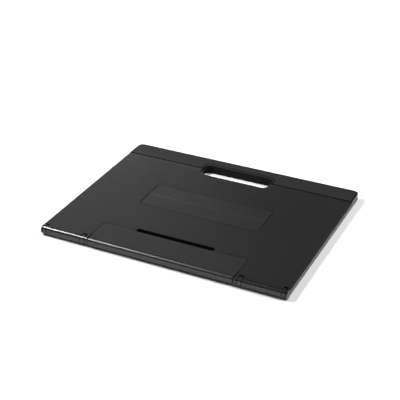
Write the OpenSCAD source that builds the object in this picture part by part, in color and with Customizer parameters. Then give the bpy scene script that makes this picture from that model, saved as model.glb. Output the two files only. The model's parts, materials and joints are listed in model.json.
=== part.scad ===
// Folding laptop stand: a flat tray, a platform hinged along its front edge,
// a prop leg under the platform, a stop flap at the front and a carrying handle at the rear.
// Closed, it is a flat slab. Origin: centre of the footprint, on the surface it stands on.
// +X to the right, +Y to the rear, +Z up, millimetres.

/* [Body] */
// Overall width
body_w = 408; // [400:1:420]
// Overall depth, front barrels to rear edge
body_d = 321; // [319:1:325]
// Overall height when closed, over the rubber feet
body_h = 15; // [15:0.1:15.6]
// How far the rubber feet stand proud of the tray
foot_drop = 1; // [0.8:0.1:1.2]
// Radius of the rear corners
corner_r = 9; // [7:0.5:12]
// Bevel along the tray's lower edge
bottom_bevel = 2.2; // [1.5:0.1:2.4]

/* [Shells] */
// Thickness of the tray's floor
floor_t = 1.8; // [1.6:0.1:2]
// Thickness of the tray's side and rear walls
wall_t = 3; // [2.5:0.1:3.2]
// Thickness of the platform's plate
plate_t = 3; // [2.8:0.1:3.2]
// Seam between the platform and the wall under it
seam = 0.3; // [0.3:0.05:0.4]
// How far the platform's sides stand in from the tray's walls
side_step = 1; // [0.5:0.1:1.5]

/* [Front hinge] */
// Radius of the hinge pin
pin_r = 2; // [1.8:0.1:2.2]
// Radial running clearance on the pin
pin_play = 0.05; // [0.02:0.01:0.08]
// Half width of the flap's barrel
flap_barrel_x = 120.2; // [118:0.1:120.5]
// Gap between neighbouring knuckles
knuckle_gap = 1; // [0.5:0.05:1.1]
// Width of the platform's narrow knuckle beside the flap
narrow_knuckle_w = 4.7; // [4.2:0.1:5]
// Width of the tray's knuckle beside it
tray_knuckle_w = 6.2; // [5.5:0.1:6.5]
// Width of the tray's outer knuckle
outer_knuckle_w = 4.3; // [4:0.1:5]
// Length of the end caps, with their necks
end_cap_t = 4; // [3.5:0.1:4.2]
// Width of the groove between the tray's outer knuckle and the end cap
end_groove_w = 1.8; // [1:0.1:2]

/* [Stop flap] */
// Front edge of the body to the flap's rear edge
flap_rear = 54.8; // [53.5:0.1:56]
// Half width of the flap's plate
flap_x = 121.3; // [121:0.1:122]
// Gap round the flap in its pocket
pocket_gap = 0.8; // [0.5:0.1:1]
// Half length of the finger slot
slot_x = 66; // [50:1:70]
// Width of the finger slot, front to rear
slot_w = 9; // [8.8:0.1:10]
// Front edge of the body to the middle of the slot
slot_d = 57.2; // [56.5:0.1:58]

/* [Leg cover] */
// Half width of the cover plate
cover_x = 102.3; // [98:0.1:104]
// Front edge of the body to the cover's front edge
cover_front = 132.2; // [130:0.1:134]
// Front edge of the body to the cover's rear edge
cover_rear = 200.3; // [198:0.1:206]
// Groove along the cover's front and sides
cover_gap = 1.3; // [0.3:0.1:1.6]
// Fall of the cover's surface from its crease to its edges
cover_fall = 0.15; // [0.1:0.05:0.3]

/* [Handle] */
// Half length of the hand hole
handle_x = 62.3; // [58:0.1:64]
// Front edge of the body to the hole's front edge
handle_front = 263.5; // [262:0.5:265]
// Front edge of the body to the hole's rear edge
handle_rear = 298; // [296:0.5:300]
// Front edge of the body to the platform's rear edge
parting = 281.6; // [281:0.1:284]
// Gap between the platform's rear edge and the rail
parting_gap = 2.8; // [1:0.1:3]
// Width of the grip's rim at the ends of the hole
rim_side = 2.3; // [2:0.1:3]
// Width of the grip's rim along the rear of the hole
rim_rear = 4.7; // [3:0.1:5]
// Groove round the grip's rim
grip_gap = 1.3; // [0.3:0.1:1.5]

/* [Prop leg] */
// Distance from the front hinge to the leg's hinge, which is also the leg's length
leg_l = 134; // [132:0.5:134.5]
// Half width of the leg
leg_x = 98; // [94:1:98]
// Width of each arm
arm_w = 20; // [16:1:22]
// Lowest prop angle of the rack
first_notch = 15; // [13:1:16]
// Step between prop angles
notch_step = 5; // [5:0.1:5]
// Number of prop angles
notch_count = 8; // [5:1:8]

/* [Hidden] */
$fn = 64;

SHELL = "#2a2a2c";
FLAP = "#303032";
DARK = "#161617";
RUBBER = "#1c1c1c";
STEEL = "#b8babd";

// A distance from the front edge of the body as a y coordinate
function from_front(d) = d - body_d / 2;

eps = 0.01;
half_w = body_w / 2;
panel_x = half_w - side_step;
hinge_r = (body_h - foot_drop) / 2;
hinge_clear = 0.4;
axis_y = from_front(hinge_r);
axis_z = foot_drop + hinge_r;
rear_y = from_front(body_d);
top_z = body_h;
tray_z = foot_drop;
floor_z = tray_z + floor_t;
plate_z = top_z - plate_t;
wall_top = plate_z - seam;
tray_front = axis_y + hinge_r - 1.5;
rail_front = from_front(parting) + parting_gap;

// Knuckles along the front hinge, from the middle outwards, as [inner x, outer x]
narrow_knuckle = [flap_barrel_x + knuckle_gap, flap_barrel_x + knuckle_gap + narrow_knuckle_w];
tray_knuckle = [narrow_knuckle[1] + knuckle_gap, narrow_knuckle[1] + knuckle_gap + tray_knuckle_w];
outer_knuckle = [half_w - end_cap_t - outer_knuckle_w, half_w - end_cap_t];
long_knuckle = [tray_knuckle[1] + knuckle_gap, outer_knuckle[0] - knuckle_gap];
notch_depth = 6.2;
knuckle_web = 9;
knuckle_back = 3.4;
knuckle_foot_z = axis_z - 2;
end_groove_depth = 1.8;
pin_in_flap = 12;

// Flap pocket and finger well in the platform
pocket_z = plate_z;
pocket_floor_t = 1.5;
flap_lift = 0.3;
flap_corner_r = 5;
well_wall = 2;
well_floor_z = pocket_z - 3.3;
well_floor_t = 1.2;

// Leg cover recess
cover_t = 1.4;
cover_rear_gap = 0.35;
cover_r = 6;
crease = (cover_front + cover_rear) / 2;
crease_step = 0.25;

// Handle
handle_r = 9;
grip_wall = 2;
grip_rim_t = 2.4;

// Rear rail
rail_t = 2.5;
rail_skirt_t = 2.5;
rail_rim = 1.8;
rail_groove = 1.3;
rim_top = top_z - 0.3;
rim_front = from_front(parting) + 0.6;
rail_boss_r = 3.6;
tray_boss_r = 5;
rail_screw_x = [85, 135, 194];
rail_screw_d = 298;

// Leg
leg_hinge_y = axis_y + leg_l;
foot_y = axis_y + 2 * leg_l;
leg_t = 4.8;
leg_tube_r = 3.4;
leg_window_rear = 234;
leg_brace = 16;
cap_r = 3.2;
cap_wall = 1.4;
cap_reach = 13;
arm_overrun = 0.8;
bearing_w = 9.4;
bearing_half_l = 10;
bearing_gap = 0.6;
bearing_bottom = 4.6;
bearing_screw_y = 7;
rod_r = 2;

// Racks
rack_margin = 3;
rack_sink = 1;
rack_top = 4.5;
rack_notch_r = 3.4;
rack_notch_z = 6;
rack_end = 9;
rack_screw_inset = 4.5;
rack_x = [leg_x - arm_w - rack_margin, leg_x + rack_margin];
rack_front = foot_place(first_notch + notch_step * (notch_count - 1)) - rack_end;
rack_rear = foot_place(first_notch) + rack_end;

// Ribs under the platform, as spans from the front edge, with their half length
panel_rib_t = 1.6;
panel_rib_depth = 2;
panel_rib_step = 24;
panel_rib_bays = [[66, 128, 96], [152, 230, 72]];

// Underside covers
under_x = [113, 196];
under_d = [68, 276];
under_t = 1;
under_r = 5;
under_screw_inset = 7;

// Tray ribs, feet and screws
rib_w = 2;
rib_top = floor_z + 1.6;
rib_x = [112, 150, 186];
rib_d = [24, 278];
cross_rib_d = [66, 116, 216];
foot_x = 168;
foot_d = [32, 296];
foot_l = 36;
foot_w = 12;
foot_sink = 0.6;
screw_r = 1.5;
screw_head_r = 2.8;
small_screw_r = 1.2;
small_head_r = 2.3;

// Where the leg's foot stands, as y, when the platform is tilted by an angle
function foot_place(angle) = axis_y + 2 * leg_l * cos(angle);

// ---- Shared shapes ----

module both_sides() {
    children();
    mirror([1, 0, 0]) children();
}

// Rounded rectangle over x and y spans
module rounded_rect(x, y, r) {
    translate([x[0] + r, y[0]]) square([x[1] - x[0] - 2 * r, y[1] - y[0]]);
    translate([x[0], y[0] + r]) square([x[1] - x[0], y[1] - y[0] - 2 * r]);
    for (cx = [x[0] + r, x[1] - r], cy = [y[0] + r, y[1] - r])
        translate([cx, cy]) circle(r);
}

// Strip with round ends along X, about a y value
module stadium(half_l, y, w) {
    translate([-half_l + w / 2, y - w / 2]) square([2 * half_l - w, w]);
    for (sx = [-1, 1])
        translate([sx * (half_l - w / 2), y]) circle(w / 2);
}

// Outline of the body from a y value to the rear edge, with round rear corners, inset all round
module body_outline(y0, inset = 0) {
    r = corner_r - inset;
    w = half_w - inset;
    y1 = rear_y - inset;
    translate([-w, y0]) square([2 * w, y1 - r - y0]);
    translate([-w + r, y0]) square([2 * (w - r), y1 - y0]);
    for (sx = [-1, 1])
        translate([sx * (w - r), y1 - r]) circle(r);
}

// Upright slab of a 2D outline between two heights
module slab(z0, z1) {
    translate([0, 0, z0]) linear_extrude(z1 - z0) children();
}

// Box from its low corner to its high corner
module span(lo, hi) {
    translate(lo) cube(hi - lo);
}

// Cylinder along X over an x span, at a y and z
module x_cylinder(x, y, z, r) {
    translate([x[0], y, z]) rotate([0, 90, 0]) cylinder(r = r, h = x[1] - x[0]);
}

// Cylinder along X on the front hinge's axis
module on_hinge(x, r) {
    x_cylinder(x, axis_y, axis_z, r);
}

// Outline of the hand hole, grown outwards at the ends and the front, and at the rear
module hand_hole(grow = 0, grow_rear = 0) {
    rounded_rect([-handle_x - grow, handle_x + grow],
        [from_front(handle_front) - grow, from_front(handle_rear) + max(grow, grow_rear)], handle_r + grow);
}

// Block with the body's outline from the hinge to the rear, widening upwards over its bevel
module bevelled_block(z0, bevel) {
    y1 = rear_y - corner_r;
    x1 = half_w - corner_r;
    translate([0, y1, z0]) rotate([90, 0, 0]) linear_extrude(y1 - tray_front)
        polygon([[-half_w + bevel, 0], [half_w - bevel, 0], [half_w, bevel], [-half_w, bevel]]);
    translate([-x1, 0, z0]) rotate([90, 0, 90]) linear_extrude(2 * x1)
        polygon([[y1 - 1, 0], [rear_y - bevel, 0], [rear_y, bevel], [y1 - 1, bevel]]);
    for (sx = [-1, 1])
        translate([sx * x1, y1, z0]) cylinder(r1 = corner_r - bevel, r2 = corner_r, h = bevel);
}

// Pan-head screw pointing up, with the underside of its head at z = 0
module screw(r, head_r, head_h, length) {
    recess_l = 1.3 * head_r;
    recess_w = 0.32 * head_r;
    difference() {
        union() {
            translate([0, 0, -head_h]) cylinder(r = head_r, h = head_h);
            translate([0, 0, -eps]) cylinder(r = r, h = length + eps);
        }
        for (turn = [0, 90])
            rotate(turn) translate([-recess_l / 2, -recess_w / 2, -head_h - eps])
                cube([recess_l, recess_w, 0.6 * head_h]);
    }
}

// ---- Base ----

rail_boss_z = tray_z + 3.2;
rail_head_h = 1.5;

module rail_screw_places() {
    for (sx = [-1, 1], x = rail_screw_x)
        translate([sx * x, from_front(rail_screw_d), tray_z + rail_head_h + 0.1]) children();
}

module rack_screw_places() {
    for (sx = [-1, 1], y = [rack_front + rack_screw_inset, rack_rear - rack_screw_inset])
        translate([sx * (rack_x[0] + rack_x[1]) / 2, y, rack_top - 1.1]) mirror([0, 0, 1]) children();
}

module foot_places() {
    for (sx = [-1, 1], d = foot_d)
        translate([sx * foot_x, from_front(d)]) children();
}

module foot_outline() {
    stadium(foot_l / 2, 0, foot_w);
}

// Floor and walls, with a thin rim that stands up round the rear rail
module tray_shell() {
    difference() {
        union() {
            bevelled_block(tray_z, bottom_bevel);
            slab(tray_z + bottom_bevel, wall_top) body_outline(axis_y);
        }
        slab(floor_z, top_z) body_outline(axis_y - 1, wall_t);
    }
    slab(wall_top - eps, rim_top) difference() {
        body_outline(rim_front);
        body_outline(rim_front - 1, rail_rim);
    }
}

module tray_knuckles() {
    for (k = [tray_knuckle, outer_knuckle]) {
        difference() {
            on_hinge(k, hinge_r);
            span([k[0] - 1, axis_y + knuckle_back, knuckle_foot_z],
                [k[1] + 1, axis_y + hinge_r + 1, top_z + 1]);
        }
        span([k[0], axis_y, tray_z], [k[1], axis_y + knuckle_web, knuckle_foot_z]);
    }
}

module tray_ribs() {
    for (x = rib_x)
        span([x, from_front(rib_d[0]), floor_z - eps], [x + rib_w, from_front(rib_d[1]), rib_top]);
    for (d = cross_rib_d)
        span([rib_x[0], from_front(d), floor_z - eps],
            [half_w - wall_t + eps, from_front(d) + rib_w, rib_top]);
}

module base_tray() {
    well_front = from_front(handle_front);
    color(SHELL)
    difference() {
        union() {
            tray_shell();
            both_sides() tray_knuckles();
            both_sides() tray_ribs();
            rail_screw_places() translate([0, 0, -eps])
                cylinder(r = tray_boss_r, h = rail_boss_z - tray_z - rail_head_h - 0.3);
            intersection() {
                slab(tray_z, wall_top) hand_hole(grip_wall);
                span([-half_w, well_front - grip_wall - 1, 0], [half_w, rail_front, top_z]);
            }
        }
        slab(0, top_z) hand_hole();
        intersection() {
            slab(0, top_z) hand_hole(grip_wall + 0.2);
            span([-half_w, rail_front, 0], [half_w, rear_y - wall_t, top_z]);
        }
        both_sides() {
            on_hinge([outer_knuckle[1], half_w + 1], hinge_r + 0.2);
            on_hinge([tray_knuckle[0] - 1, half_w + 1], pin_r);
            span([rack_x[0] - 0.1, rack_front - 0.1, floor_z - rack_sink],
                [rack_x[1] + 0.1, rack_rear + 0.1, top_z]);
        }
        rail_screw_places() {
            translate([0, 0, -rail_head_h - 1]) cylinder(r = screw_head_r + 0.2, h = rail_head_h + 1);
            cylinder(r = screw_r + 0.1, h = body_h);
        }
        rack_screw_places() cylinder(r = small_screw_r, h = rack_top - tray_z - 1.5);
        slab(0, tray_z + foot_sink) foot_places() foot_outline();
    }
}

module rear_rail() {
    color(SHELL)
    difference() {
        union() {
            slab(top_z - rail_t, top_z) body_outline(rail_front, rail_rim + rail_groove);
            span([-half_w + wall_t + 0.3, rail_front, floor_z + 0.3],
                [half_w - wall_t - 0.3, rail_front + rail_skirt_t, top_z - 1]);
            for (sx = [-1, 1], x = rail_screw_x)
                translate([sx * x, from_front(rail_screw_d), rail_boss_z + 0.1])
                    cylinder(r = rail_boss_r, h = top_z - 1 - rail_boss_z);
        }
        slab(0, top_z + 1) intersection() {
            hand_hole(rim_side + grip_gap, rim_rear + grip_gap);
            translate([-half_w, rail_front - 1]) square([body_w, body_d]);
        }
        rail_screw_places() cylinder(r = screw_r, h = 9);
    }
}

module handle_grip() {
    color(DARK)
    intersection() {
        difference() {
            union() {
                slab(top_z - grip_rim_t, top_z) hand_hole(rim_side, rim_rear);
                slab(tray_z, top_z - grip_rim_t + eps) hand_hole(grip_wall);
            }
            slab(0, top_z + 1) hand_hole();
        }
        span([-half_w, rail_front, 0], [half_w, rear_y, top_z]);
    }
}

module notch_rack() {
    color(DARK)
    difference() {
        span([rack_x[0], rack_front, floor_z - rack_sink], [rack_x[1], rack_rear, rack_top]);
        for (k = [0 : notch_count - 1])
            x_cylinder([rack_x[0] - 1, rack_x[1] + 1], foot_place(first_notch + notch_step * k),
                rack_notch_z, rack_notch_r);
        rack_screw_places() {
            translate([0, 0, -3]) cylinder(r = small_head_r + 0.15, h = 3);
            cylinder(r = small_screw_r, h = 9);
        }
    }
}

module end_cap() {
    bevel = 0.5;
    rim_x = outer_knuckle[1] + end_groove_w;
    color(SHELL) {
        on_hinge([outer_knuckle[1], rim_x], hinge_r - end_groove_depth);
        on_hinge([rim_x, half_w - bevel], hinge_r);
        translate([half_w - bevel, axis_y, axis_z]) rotate([0, 90, 0])
            cylinder(r1 = hinge_r, r2 = hinge_r - bevel, h = bevel);
    }
}

module hinge_pin() {
    color(STEEL) on_hinge([flap_barrel_x - pin_in_flap, outer_knuckle[1]], pin_r);
}

module rubber_foot(sx, d) {
    color(RUBBER) slab(0, tray_z + foot_sink)
        translate([sx * foot_x, from_front(d)]) foot_outline();
}

module rail_screws() {
    color(STEEL) rail_screw_places() screw(screw_r, screw_head_r, rail_head_h, 8);
}

module rack_screws() {
    color(STEEL) rack_screw_places() screw(small_screw_r, small_head_r, 1, 1.9);
}

// ---- Platform ----

module panel_outline() {
    translate([-panel_x, axis_y]) square([2 * panel_x, from_front(parting) - axis_y]);
}

// Grid of shallow ribs in the bays in front of the leg's hinge and between its arms
module panel_ribs() {
    z0 = plate_z - panel_rib_depth;
    for (bay = panel_rib_bays) {
        y = [from_front(bay[0]), from_front(bay[1])];
        for (x = [-bay[2] : panel_rib_step : bay[2]])
            span([x - panel_rib_t / 2, y[0], z0], [x + panel_rib_t / 2, y[1], plate_z + eps]);
        for (share = [0, 0.5, 1])
            span([-bay[2] - panel_rib_t / 2, y[0] + share * (y[1] - y[0]) - panel_rib_t / 2, z0],
                [bay[2] + panel_rib_t / 2, y[0] + share * (y[1] - y[0]) + panel_rib_t / 2, plate_z + eps]);
    }
}

module flap_slot(grow = 0) {
    stadium(slot_x + grow, from_front(slot_d), slot_w + 2 * grow);
}

module under_screw_places() {
    for (sx = [-1, 1], x = [under_x[0] + under_screw_inset, under_x[1] - under_screw_inset],
        d = [under_d[0] + under_screw_inset, under_d[1] - under_screw_inset])
        translate([sx * x, from_front(d), plate_z - under_t]) children();
}

module bearing_screw_places() {
    x = leg_x + bearing_gap + bearing_w / 2;
    for (sx = [-1, 1], sy = [-1, 1])
        translate([sx * x, leg_hinge_y + sy * bearing_screw_y, bearing_bottom + 1.6]) children();
}

module platform_panel() {
    color(SHELL)
    difference() {
        union() {
            slab(plate_z, top_z) panel_outline();
            panel_ribs();
            both_sides() {
                on_hinge(narrow_knuckle, hinge_r);
                on_hinge(long_knuckle, hinge_r);
            }
            span([-flap_x - 3, axis_y + hinge_r + hinge_clear, pocket_z - pocket_floor_t],
                [flap_x + 3, from_front(flap_rear) + 3, top_z - 1]);
            slab(well_floor_z - well_floor_t, pocket_z) flap_slot(well_wall);
        }
        // Pocket that the flap lies in
        slab(pocket_z, top_z + 1) rounded_rect([-flap_x - pocket_gap, flap_x + pocket_gap],
            [axis_y - 2 * hinge_r, from_front(flap_rear) + pocket_gap], flap_corner_r + pocket_gap);
        slab(well_floor_z, top_z + 1) flap_slot();
        on_hinge([-flap_barrel_x - knuckle_gap, flap_barrel_x + knuckle_gap], hinge_r + hinge_clear);
        // Room for the tray's knuckles and the end caps
        both_sides() {
            for (k = [tray_knuckle, outer_knuckle]) {
                on_hinge([k[0] - knuckle_gap, k[1] + knuckle_gap], hinge_r + hinge_clear);
                span([k[0] - knuckle_gap, axis_y - 1, plate_z - 1],
                    [k[1] + knuckle_gap, axis_y + notch_depth, top_z + 1]);
            }
            on_hinge([outer_knuckle[1], half_w + 1], hinge_r + hinge_clear);
            on_hinge([narrow_knuckle[0] - 1, outer_knuckle[0]], pin_r + pin_play);
        }
        slab(0, top_z + 1) hand_hole();
        slab(top_z - cover_t, top_z + 1) rounded_rect([-cover_x - cover_gap, cover_x + cover_gap],
            [from_front(cover_front) - cover_gap, from_front(cover_rear) + cover_rear_gap],
            cover_r + cover_gap);
        bearing_screw_places() cylinder(r = screw_r, h = 7);
        under_screw_places() cylinder(r = small_screw_r, h = 2.6);
    }
}

module leg_cover() {
    y0 = from_front(cover_front);
    y1 = from_front(cover_rear);
    z0 = top_z - cover_t;
    color(FLAP)
    intersection() {
        slab(z0, top_z) rounded_rect([-cover_x, cover_x], [y0, y1], cover_r);
        translate([-half_w, 0, 0]) rotate([90, 0, 90]) linear_extrude(body_w)
            polygon([[y0, z0], [y1, z0], [y1, top_z - cover_fall], [from_front(crease), top_z],
                [from_front(crease) - crease_step, top_z - crease_step],
                [y0, top_z - crease_step - cover_fall]]);
    }
}

module underside_cover() {
    color(SHELL)
    difference() {
        slab(plate_z - under_t, plate_z)
            rounded_rect(under_x, [from_front(under_d[0]), from_front(under_d[1])], under_r);
        under_screw_places() translate([0, 0, -1]) cylinder(r = small_screw_r + 0.1, h = 3);
    }
}

module leg_bearing() {
    x = [leg_x + bearing_gap, leg_x + bearing_gap + bearing_w];
    color(DARK)
    difference() {
        span([x[0], leg_hinge_y - bearing_half_l, bearing_bottom],
            [x[1], leg_hinge_y + bearing_half_l, plate_z]);
        x_cylinder([x[0] - 1, x[1] + 1], leg_hinge_y, axis_z, rod_r);
        bearing_screw_places() {
            translate([0, 0, -3]) cylinder(r = screw_head_r + 0.1, h = 3);
            cylinder(r = screw_r + 0.1, h = 9);
        }
    }
}

module leg_rod() {
    reach = leg_x + bearing_gap + bearing_w;
    color(STEEL) x_cylinder([-reach, reach], leg_hinge_y, axis_z, rod_r);
}

module bearing_screws() {
    color(STEEL) bearing_screw_places() screw(screw_r, screw_head_r, 1.4, 6.8);
}

module cover_screws() {
    color(STEEL) under_screw_places() screw(small_screw_r, small_head_r, 0.9, 2.6);
}

// ---- Flap ----

module front_flap() {
    y1 = from_front(flap_rear);
    z0 = pocket_z + flap_lift;
    neck_y = axis_y + hinge_r + 1.2;
    color(FLAP)
    difference() {
        union() {
            on_hinge([-flap_barrel_x, flap_barrel_x], hinge_r);
            span([-flap_barrel_x, axis_y, z0], [flap_barrel_x, neck_y + 1, top_z]);
            slab(z0, top_z) rounded_rect([-flap_x, flap_x], [neck_y, y1], flap_corner_r);
            span([-flap_barrel_x, neck_y, z0], [flap_barrel_x, neck_y + flap_corner_r + 1, top_z]);
        }
        slab(0, top_z + 1) flap_slot();
        both_sides() on_hinge([flap_barrel_x - pin_in_flap - 1, flap_barrel_x + 1], pin_r + pin_play);
    }
}

// ---- Prop leg ----

module prop_leg() {
    z0 = axis_z - leg_t / 2;
    z1 = axis_z + leg_t / 2;
    inner_x = leg_x - arm_w;
    color(DARK)
    difference() {
        union() {
            x_cylinder([-leg_x, leg_x], leg_hinge_y, axis_z, leg_tube_r);
            both_sides() span([inner_x, leg_hinge_y, z0], [leg_x, foot_y + arm_overrun, z1]);
            span([-leg_x, from_front(leg_window_rear), z0],
                [leg_x, from_front(leg_window_rear) + leg_brace, z1]);
        }
        x_cylinder([-leg_x - 1, leg_x + 1], leg_hinge_y, axis_z, rod_r + pin_play);
    }
}

module leg_cap() {
    x = [leg_x - arm_w, leg_x];
    y0 = foot_y - cap_reach;
    color(RUBBER)
    difference() {
        union() {
            x_cylinder([x[0] - cap_wall, x[1] + cap_wall], foot_y, axis_z, cap_r);
            span([x[0] - cap_wall, y0, axis_z - cap_r], [x[1] + cap_wall, foot_y, axis_z + cap_r]);
        }
        span([x[0], y0 - 1, axis_z - leg_t / 2], [x[1], foot_y + arm_overrun, axis_z + leg_t / 2]);
    }
}

// ---- The assembly ----

base_tray();
rear_rail();
handle_grip();
mirror([1, 0, 0]) notch_rack();  // notch_rack_left
notch_rack();  // notch_rack_right
mirror([1, 0, 0]) end_cap();  // end_cap_left
end_cap();  // end_cap_right
mirror([1, 0, 0]) hinge_pin();  // hinge_pin_left
hinge_pin();  // hinge_pin_right
rubber_foot(-1, foot_d[0]);  // rubber_foot_front_left
rubber_foot(1, foot_d[0]);  // rubber_foot_front_right
rubber_foot(-1, foot_d[1]);  // rubber_foot_rear_left
rubber_foot(1, foot_d[1]);  // rubber_foot_rear_right
rail_screws();
rack_screws();
platform_panel();
leg_cover();
mirror([1, 0, 0]) underside_cover();  // underside_cover_left
underside_cover();  // underside_cover_right
mirror([1, 0, 0]) leg_bearing();  // leg_bearing_left
leg_bearing();  // leg_bearing_right
leg_rod();
bearing_screws();
cover_screws();
front_flap();
prop_leg();
mirror([1, 0, 0]) leg_cap();  // leg_cap_left
leg_cap();  // leg_cap_right
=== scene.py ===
import json
import math

import bmesh
import bpy
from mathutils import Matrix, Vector


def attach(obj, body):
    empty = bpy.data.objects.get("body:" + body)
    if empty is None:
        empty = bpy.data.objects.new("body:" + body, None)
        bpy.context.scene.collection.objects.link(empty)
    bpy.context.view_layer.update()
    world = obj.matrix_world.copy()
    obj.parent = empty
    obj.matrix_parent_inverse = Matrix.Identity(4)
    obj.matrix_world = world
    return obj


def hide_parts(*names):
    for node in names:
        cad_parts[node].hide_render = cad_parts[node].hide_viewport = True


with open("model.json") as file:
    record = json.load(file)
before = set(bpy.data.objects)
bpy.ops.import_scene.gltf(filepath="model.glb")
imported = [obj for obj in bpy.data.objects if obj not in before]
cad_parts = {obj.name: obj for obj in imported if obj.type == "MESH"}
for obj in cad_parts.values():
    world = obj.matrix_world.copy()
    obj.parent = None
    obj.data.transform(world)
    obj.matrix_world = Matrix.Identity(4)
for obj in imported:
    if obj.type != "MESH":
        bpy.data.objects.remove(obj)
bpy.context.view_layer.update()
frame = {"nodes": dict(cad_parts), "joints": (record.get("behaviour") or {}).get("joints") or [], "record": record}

MM = 0.001

# ---- Camera and studio ----

LENS = 90.85                # mm
SENSOR = 36                 # mm
AZIMUTH = math.radians(25.87)
ELEVATION = math.radians(29.60)
DISTANCE = 1.6557           # m, from AIM
AIM = Vector((-0.0296, 0.0439, 0.001))

TABLE_REACH = 2.0           # from the middle of the table top to its edges
TABLE_COLOUR = (0.9, 0.9, 0.9, 1)
TABLE_ROUGHNESS = 0.9
TABLE_SPECULAR = 0.1

# Between the two heights, the walls' light fades from the first strength to the second. A height is
# the z part of the direction to it
WALL_HEIGHTS = (0.06, 0.16)
WALL_LIGHT = (0.8, 0.04)

# Soft boxes: place, what they point at, width and height, and power in watts
LIGHTS = {
    "left_top": ((-1.9, -0.4, 2.2), (0, 0, 0), (1.4, 1.4), 26),
    "right_top": ((1.7, 0.9, 2.2), (0, 0, 0), (1.6, 1.6), 82),
    "rear_left": ((-1.95, 2.25, 1.25), (-0.1, 0, 0), (1.7, 1.1), 4.6),
    "key": ((-1.11, -0.37, 1.55), (-0.15, -0.15, 0), (0.26, 0.26), 27),
    "front_low": ((-0.75, -2.2, 0.28), (0, 0, 0.02), (1.2, 0.4), 6),
}


def make_camera():
    """Looks down on the stand from the front right."""
    back = Vector((math.sin(AZIMUTH) * math.cos(ELEVATION),
                   -math.cos(AZIMUTH) * math.cos(ELEVATION),
                   math.sin(ELEVATION)))
    data = bpy.data.cameras.new("camera")
    data.lens = LENS
    data.sensor_width = SENSOR
    camera = bpy.data.objects.new("camera", data)
    bpy.context.scene.collection.objects.link(camera)
    camera.location = AIM + back * DISTANCE
    camera.rotation_mode = "QUATERNION"
    camera.rotation_quaternion = (-back).to_track_quat("-Z", "Y")
    bpy.context.scene.camera = camera


def make_light(name, place, aim, size, power):
    data = bpy.data.lights.new(name, "AREA")
    data.shape = "RECTANGLE"
    data.size, data.size_y = size
    data.energy = power
    light = bpy.data.objects.new(name, data)
    bpy.context.scene.collection.objects.link(light)
    light.location = place
    light.rotation_mode = "QUATERNION"
    light.rotation_quaternion = (Vector(aim) - Vector(place)).to_track_quat("-Z", "Y")


def make_table_top():
    corners = [(-TABLE_REACH, -TABLE_REACH, 0), (TABLE_REACH, -TABLE_REACH, 0),
               (TABLE_REACH, TABLE_REACH, 0), (-TABLE_REACH, TABLE_REACH, 0)]
    mesh = bpy.data.meshes.new("table_top")
    mesh.from_pydata(corners, [], [(0, 1, 2, 3)])
    table_top = bpy.data.objects.new("table_top", mesh)
    bpy.context.scene.collection.objects.link(table_top)
    paper = bpy.data.materials.new("paper")
    paper.use_nodes = True
    shader = paper.node_tree.nodes["Principled BSDF"]
    shader.inputs["Base Color"].default_value = TABLE_COLOUR
    shader.inputs["Roughness"].default_value = TABLE_ROUGHNESS
    shader.inputs["Specular IOR Level"].default_value = TABLE_SPECULAR
    mesh.materials.append(paper)


def smooth_fade(fade, low, high, to_low, to_high):
    """Sets up a Map Range node that goes smoothly from to_low to to_high between low and high."""
    fade.interpolation_type = "SMOOTHSTEP"
    for name, number in zip(("From Min", "From Max", "To Min", "To Max"), (low, high, to_low, to_high)):
        fade.inputs[name].default_value = number


def make_room():
    """A dim room whose walls are pale up to a little above the table."""
    world = bpy.data.worlds.new("room")
    world.use_nodes = True
    tree = world.node_tree
    background = tree.nodes["Background"]
    background.inputs["Color"].default_value = (1, 1, 1, 1)
    parts = tree.nodes.new("ShaderNodeSeparateXYZ")
    tree.links.new(tree.nodes.new("ShaderNodeTexCoord").outputs["Generated"], parts.inputs["Vector"])
    fade = tree.nodes.new("ShaderNodeMapRange")
    smooth_fade(fade, *WALL_HEIGHTS, *WALL_LIGHT)
    tree.links.new(parts.outputs["Z"], fade.inputs["Value"])
    tree.links.new(fade.outputs["Result"], background.inputs["Strength"])
    return world


def make_studio():
    """White table, lit by boxes high on both sides, low in front, and behind on the left."""
    make_table_top()
    for name, settings in LIGHTS.items():
        make_light(name, *settings)
    bpy.context.scene.world = make_room()
    bpy.context.scene.view_settings.view_transform = "Standard"


# ---- Materials ----

HINGE_Y = next(joint["pos_m"][1] for joint in frame["joints"] if joint["name"] == "platform_tilt")
BEHIND_CAPS_Y = HINGE_Y + 10 * MM
POLISH_FADE = 0.25 * MM     # to each side of where the polish ends
POLISH_GLOSS = 0.1          # how much less rough the polished fronts are
POLISH_LOSS = 0.8           # share of the grain that polishing takes away
MOTTLE_GLOSS = 0.012        # how much the mottle adds to or takes from the roughness
HANDLED_GLOSS = (-0.008, 0.012)     # least and most that handling marks add to the roughness
WORN_GLOSS = 0.06           # how much less rough worn plastic edges are
WORN_FADE = 0.5             # share of the worn colour on worn plastic edges

# Scales of the textures, in cells for each metre
MOTTLE_SCALE = 34
HANDLING_SCALE = 7
CHIPPING_SCALE = 160
PORE_SCALE = 900
DUST_SCALE = 60
SHINE_SCALE = 40
CLOUD_SCALE = 240
TURNING_SCALE = 2600
TURNING_STRETCH = (0.12, 1, 1)      # shares of that scale along x, y and z
SPECKLE_SHARE = 0.8         # the speckle's scale, as a share of the grain's

WORN_PLASTIC = (0.53, 0.6)  # pointiness where an edge starts to be worn, and where it is all worn
WORN_STEEL = (0.52, 0.6)


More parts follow.
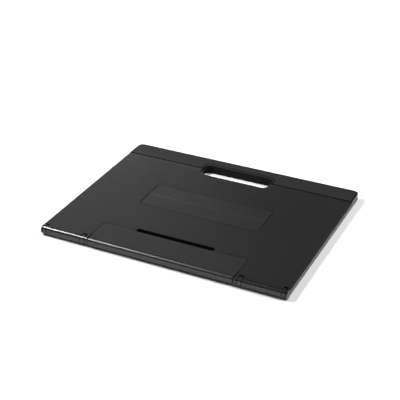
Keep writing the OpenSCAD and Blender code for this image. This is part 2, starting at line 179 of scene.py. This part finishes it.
class Tree:
    """A material's node tree, with short calls for the nodes that the materials share."""

    def __init__(self, name):
        self.material = bpy.data.materials.new(name)
        self.material.use_nodes = True
        self.tree = self.material.node_tree
        self.shader = self.tree.nodes["Principled BSDF"]
        self.place = self.node("ShaderNodeTexCoord").outputs["Object"]

    def node(self, kind, **values):
        made = self.tree.nodes.new(kind)
        for name, value in values.items():
            setattr(made, name, value)
        return made

    def link(self, output, socket):
        self.tree.links.new(output, socket)

    def stretched(self, scale):
        mapping = self.node("ShaderNodeMapping")
        mapping.inputs["Scale"].default_value = scale
        self.link(self.place, mapping.inputs["Vector"])
        return mapping.outputs["Vector"]

    def noise(self, scale, detail=2.0, rough=0.5, distortion=0.0, place=None):
        made = self.node("ShaderNodeTexNoise")
        made.inputs["Scale"].default_value = scale
        made.inputs["Detail"].default_value = detail
        made.inputs["Roughness"].default_value = rough
        made.inputs["Distortion"].default_value = distortion
        self.link(place or self.place, made.inputs["Vector"])
        return made.outputs["Fac"]

    def cells(self, scale):
        made = self.node("ShaderNodeTexVoronoi", feature="SMOOTH_F1")
        made.inputs["Scale"].default_value = scale
        made.inputs["Smoothness"].default_value = 0.6
        self.link(self.place, made.inputs["Vector"])
        return made.outputs["Distance"]

    def ramp(self, value, low, high, to_low=0.0, to_high=1.0):
        made = self.node("ShaderNodeMapRange")
        smooth_fade(made, low, high, to_low, to_high)
        self.link(value, made.inputs["Value"])
        return made.outputs["Result"]

    def maths(self, operation, first, second):
        made = self.node("ShaderNodeMath", operation=operation)
        for socket, value in zip(made.inputs, (first, second)):
            if isinstance(value, (int, float)):
                socket.default_value = value
            else:
                self.link(value, socket)
        return made.outputs["Value"]

    def mix(self, share, first, second):
        made = self.node("ShaderNodeMix", data_type="RGBA")
        colours = [socket for socket in made.inputs if socket.type == "RGBA"]
        self.link(share, made.inputs["Factor"])
        for socket, value in zip(colours, (first, second)):
            if isinstance(value, tuple):
                socket.default_value = (*value, 1)
            else:
                self.link(value, socket)
        return next(socket for socket in made.outputs if socket.type == "RGBA")

    def bump(self, height, strength, distance, under=None):
        made = self.node("ShaderNodeBump")
        made.inputs["Strength"].default_value = strength
        made.inputs["Distance"].default_value = distance
        self.link(height, made.inputs["Height"])
        if under:
            self.link(under, made.inputs["Normal"])
        return made.outputs["Normal"]

    def front_of(self, y):
        """1 in front of a y value, 0 behind it."""
        parts = self.node("ShaderNodeSeparateXYZ")
        self.link(self.place, parts.inputs["Vector"])
        return self.ramp(parts.outputs["Y"], y - POLISH_FADE, y + POLISH_FADE, to_low=1.0, to_high=0.0)

    def edges(self, low, high):
        """1 on worn convex edges, 0 elsewhere."""
        pointiness = self.node("ShaderNodeNewGeometry").outputs["Pointiness"]
        chips = self.noise(CHIPPING_SCALE, detail=4, rough=0.7)
        chipped = self.maths("ADD", pointiness, self.ramp(chips, 0.3, 0.7, to_low=-0.02, to_high=0.02))
        return self.ramp(chipped, low, high)


def shade(colour, factor):
    return tuple(channel * factor for channel in colour)


def plastic(name, colour, rough, grain, depth, specular=0.5, polished_to=HINGE_Y):
    """Moulded plastic: spark-eroded grain over a slow mottle, faint handling marks, burnished edges.

    In front of the y value polished_to it is polished, with little grain left."""
    tree = Tree(name)
    mottle = tree.noise(MOTTLE_SCALE, detail=5, rough=0.65)
    speckle = tree.noise(grain * SPECKLE_SHARE, rough=0.6)
    worn = tree.edges(*WORN_PLASTIC)
    polished = tree.front_of(polished_to)

    body = tree.mix(tree.ramp(mottle, 0.3, 0.7), shade(colour, 0.9), shade(colour, 1.1))
    grained = tree.mix(tree.ramp(speckle, 0.35, 0.75, to_high=0.5), body, shade(colour, 1.45))
    faded = tree.maths("MULTIPLY", worn, WORN_FADE)
    tree.link(tree.mix(faded, grained, shade(colour, 2.2)), tree.shader.inputs["Base Color"])

    handling = tree.noise(HANDLING_SCALE, detail=3, distortion=0.8)
    handled = tree.ramp(handling, 0.4, 0.7, *HANDLED_GLOSS)
    mottled = tree.ramp(mottle, 0.25, 0.75, to_low=rough - MOTTLE_GLOSS, to_high=rough + MOTTLE_GLOSS)
    varied = tree.maths("ADD", mottled, handled)
    burnished = tree.maths("SUBTRACT", varied, tree.maths("MULTIPLY", worn, WORN_GLOSS))
    smoothed = tree.maths("SUBTRACT", burnished, tree.maths("MULTIPLY", polished, POLISH_GLOSS))
    tree.link(smoothed, tree.shader.inputs["Roughness"])

    grain_left = tree.maths("SUBTRACT", 1.0, tree.maths("MULTIPLY", polished, POLISH_LOSS))
    pebbles = tree.maths("MULTIPLY", tree.cells(grain), grain_left)
    specks = tree.maths("MULTIPLY", speckle, grain_left)
    pebbled = tree.bump(pebbles, strength=0.5, distance=depth)
    tree.link(tree.bump(specks, strength=0.35, distance=depth, under=pebbled), tree.shader.inputs["Normal"])

    tree.shader.inputs["Specular IOR Level"].default_value = specular
    return tree.material


def rubber(name, colour):
    """Matt rubber with fine pores and patches of dust."""
    tree = Tree(name)
    pores = tree.cells(PORE_SCALE)
    dust = tree.ramp(tree.noise(DUST_SCALE, detail=5, rough=0.7), 0.5, 0.8, to_high=0.35)
    base = tree.mix(tree.ramp(pores, 0.1, 0.6), shade(colour, 0.8), shade(colour, 1.2))
    tree.link(tree.mix(dust, base, shade(colour, 3.0)), tree.shader.inputs["Base Color"])
    shine = tree.ramp(tree.noise(SHINE_SCALE, detail=3), 0.3, 0.7, to_low=0.72, to_high=0.86)
    tree.link(shine, tree.shader.inputs["Roughness"])
    tree.link(tree.bump(pores, strength=0.4, distance=0.06 * MM), tree.shader.inputs["Normal"])
    tree.shader.inputs["Specular IOR Level"].default_value = 0.35
    return tree.material


def steel(name, colour):
    """Zinc-plated steel: turned marks, slow clouding, brighter rubbed edges."""
    tree = Tree(name)
    clouds = tree.noise(CLOUD_SCALE, detail=4, rough=0.6)
    turned = tree.noise(TURNING_SCALE, place=tree.stretched(TURNING_STRETCH))
    base = tree.mix(tree.ramp(clouds, 0.3, 0.7), shade(colour, 0.8), shade(colour, 1.05))
    tree.link(tree.mix(tree.edges(*WORN_STEEL), base, shade(colour, 1.3)), tree.shader.inputs["Base Color"])
    tree.link(tree.ramp(turned, 0.3, 0.7, to_low=0.24, to_high=0.42), tree.shader.inputs["Roughness"])
    tree.link(tree.bump(turned, strength=0.2, distance=0.03 * MM), tree.shader.inputs["Normal"])
    tree.shader.inputs["Metallic"].default_value = 1.0
    return tree.material


# Plastics: colour, roughness, cells of grain for each metre, depth of the grain
FINISHES = {
    "shell_plastic": plastic("shell_black", (0.0084, 0.0084, 0.0087), 0.38, 1500, 0.05 * MM),
    "rail_plastic": plastic("rail_black", (0.009, 0.009, 0.0093), 0.5, 1300, 0.06 * MM),
    "cap_plastic": plastic("cap_black", (0.009, 0.009, 0.0093), 0.4, 1500, 0.05 * MM,
                           polished_to=BEHIND_CAPS_Y),
    "flap_plastic": plastic("flap_black", (0.0105, 0.0105, 0.0108), 0.42, 2100, 0.05 * MM),
    "cover_plastic": plastic("cover_black", (0.0115, 0.0115, 0.0118), 0.37, 1700, 0.05 * MM),
    "dark_plastic": plastic("nylon_black", (0.009, 0.009, 0.009), 0.52, 1100, 0.07 * MM, specular=0.4),
    # Darker and less shiny than the other black plastics: painted shade, put on side faces so that gaps, holes and
    # edges look dark
    "inner_plastic": plastic("inner_matt", (0.006, 0.006, 0.006), 0.7, 1100, 0.07 * MM, specular=0.12),
    "rubber": rubber("rubber_black", (0.018, 0.018, 0.018)),
    "steel": steel("zinc_steel", (0.6, 0.61, 0.62)),
}

# Pieces whose finish differs from the rest of their slot
OWN_FINISH = {
    "rear_rail": "rail_plastic", "handle_grip": "shell_plastic",
    "end_cap_left": "cap_plastic", "end_cap_right": "cap_plastic",
}

# Pieces whose sides and insides get a darker, matt copy of the black plastic, painted shade that darkens the gaps
# between parts, the holes and the edges: the least z of a face's normal that keeps the piece's own finish, and
# whether everything in front of the hinge's axis keeps it too
SHADED_SIDES = {
    "platform_panel": (0.95, True), "front_flap": (0.95, True), "leg_cover": (0.5, False),
    "rear_rail": (0.95, False), "handle_grip": (0.8, False),
}

# ---- Shells with broken edges ----

WELD = 0.002 * MM           # vertices this close are joined
LEVEL = 0.01 * MM           # vertices this close to a height are at it
FLAT_ANGLE = math.radians(0.4)
SHARP_ANGLE = math.radians(32)
BEVEL_STEPS = 3

# Node's name or its start: width of its broken edges in mm, and whether only the edges of its top and
# bottom faces are broken
EDGES = {
    "base_tray": (0.3, True), "rear_rail": (0.12, False), "platform_panel": (0.12, False),
    "front_flap": (0.15, False), "leg_cover": (0.05, False), "handle_grip": (0.4, True),
    "prop_leg": (0.5, False), "rubber_foot": (0.4, True), "leg_cap": (0.3, False),
    "notch_rack": (0.25, True), "underside_cover": (0.25, False), "hinge_pin": (0.3, False),
    "leg_rod": (0.3, False),
}


def broken_edges(shell, level_only):
    """The sharp convex edges of a shell, or only those round its highest and lowest faces."""
    heights = [vert.co.z for vert in shell.verts]
    levels = (min(heights), max(heights))

    def level(edge):
        return any(all(abs(vert.co.z - z) < LEVEL for vert in edge.verts) for z in levels)

    return [edge for edge in shell.edges
            if len(edge.link_faces) == 2 and edge.is_convex and edge.calc_face_angle() > SHARP_ANGLE
            and (level(edge) or not level_only)]


def break_edges(name, width, level_only):
    """A copy of a CAD node with its faces rejoined and its edges rounded, which stands for it."""
    shell = bmesh.new()
    shell.from_mesh(frame["nodes"][name].data)
    bmesh.ops.remove_doubles(shell, verts=shell.verts, dist=WELD)
    bmesh.ops.dissolve_limit(shell, angle_limit=FLAT_ANGLE, verts=shell.verts, edges=shell.edges)
    bmesh.ops.bevel(shell, geom=broken_edges(shell, level_only), offset=width * MM,
                    offset_type="OFFSET", segments=BEVEL_STEPS, profile=0.5, affect="EDGES",
                    clamp_overlap=False, loop_slide=True)
    bmesh.ops.triangulate(shell, faces=shell.faces)
    for face in shell.faces:
        face.smooth = True
    mesh = bpy.data.meshes.new(name + "_shell")
    shell.to_mesh(mesh)
    shell.free()
    if "custom_normal" in mesh.attributes:
        mesh.attributes.remove(mesh.attributes["custom_normal"])
    mesh.set_sharp_from_angle(angle=SHARP_ANGLE)
    piece = bpy.data.objects.new(name + "_shell", mesh)
    bpy.context.scene.collection.objects.link(piece)
    normals = piece.modifiers.new("normals", "WEIGHTED_NORMAL")
    normals.keep_sharp = True
    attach(piece, body_of[name])
    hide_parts(name)
    return piece


def paint_side_shade(shell, least_up, keep_front):
    """Gives the darker, matt finish, painted shade for gaps, holes and edges, to the faces listed for the piece.
    """
    shell.data.materials.append(FINISHES["inner_plastic"])
    for face in shell.data.polygons:
        kept = face.normal.z > least_up or (keep_front and face.center.y < HINGE_Y)
        face.material_index = 0 if kept else 1


# ---- Build ----

make_camera()
make_studio()
record = frame["record"]
slot_of = {part["node"]: part["material_slot"] for part in record["subparts"]}
body_of = {name: body for body, names in record["behaviour"]["bodies"].items() for name in names}
for name, node in frame["nodes"].items():
    rule = next((EDGES[start] for start in EDGES if name.startswith(start)), None)
    shown = break_edges(name, *rule) if rule else node
    shown.data.materials.clear()
    shown.data.materials.append(FINISHES[OWN_FINISH.get(name, slot_of[name])])
    # Side faces of these pieces get the darker, matt plastic as painted shade in gaps and along edges
    if name in SHADED_SIDES:
        paint_side_shade(shown, *SHADED_SIDES[name])
